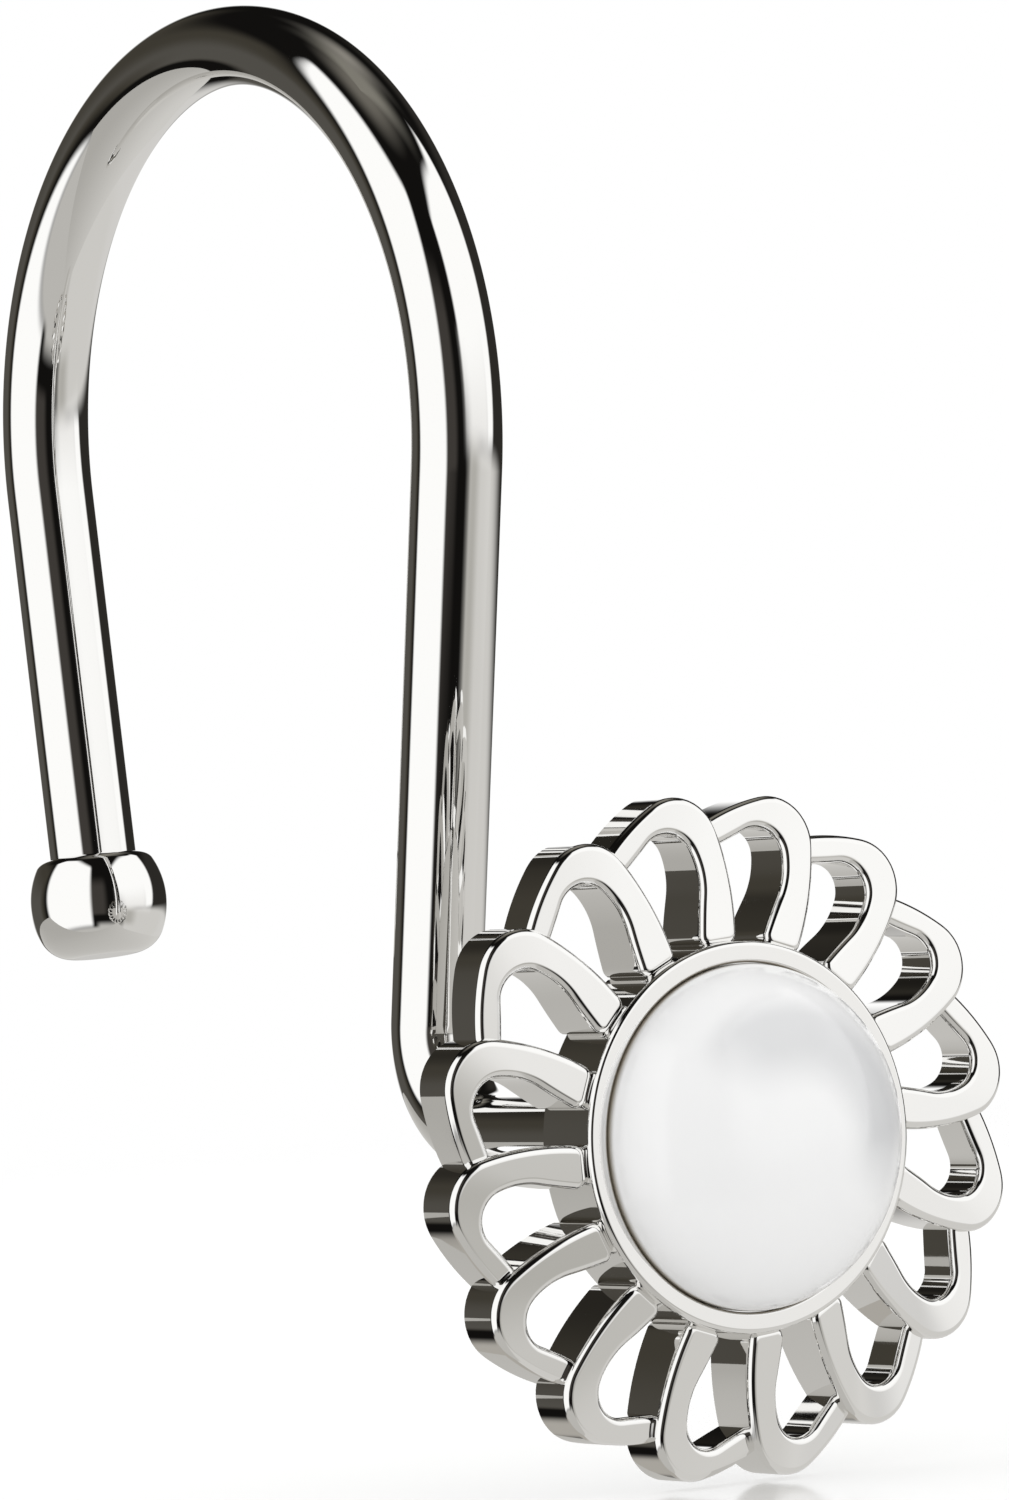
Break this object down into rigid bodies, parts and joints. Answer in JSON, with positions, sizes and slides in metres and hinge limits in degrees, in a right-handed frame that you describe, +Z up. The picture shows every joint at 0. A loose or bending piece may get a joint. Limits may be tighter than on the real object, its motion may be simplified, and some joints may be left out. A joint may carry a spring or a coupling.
{
  "type": "shower curtain hook",
  "caption": "One-piece polished metal hook with a ball tip and a pierced pinwheel flower, set with a domed pearl cabochon.",
  "frame": {"origin": "highest point of the inside of the arch, where the curtain rail carries the hook", "axes": "+Z up as the hook hangs, the hook lies in the plane x = 0, the flower faces -Y and the ball tip is at +Y"},
  "size_m": [0.0392, 0.0814, 0.0899],
  "materials": {
    "plated_metal": "bright nickel plate on a polished zinc casting",
    "pearl": "satin white pearl lustre"
  },
  "bodies": {
    "root": {"hook_casting": "plated_metal", "pearl_cabochon": "pearl"}
  },
  "joints": []
}
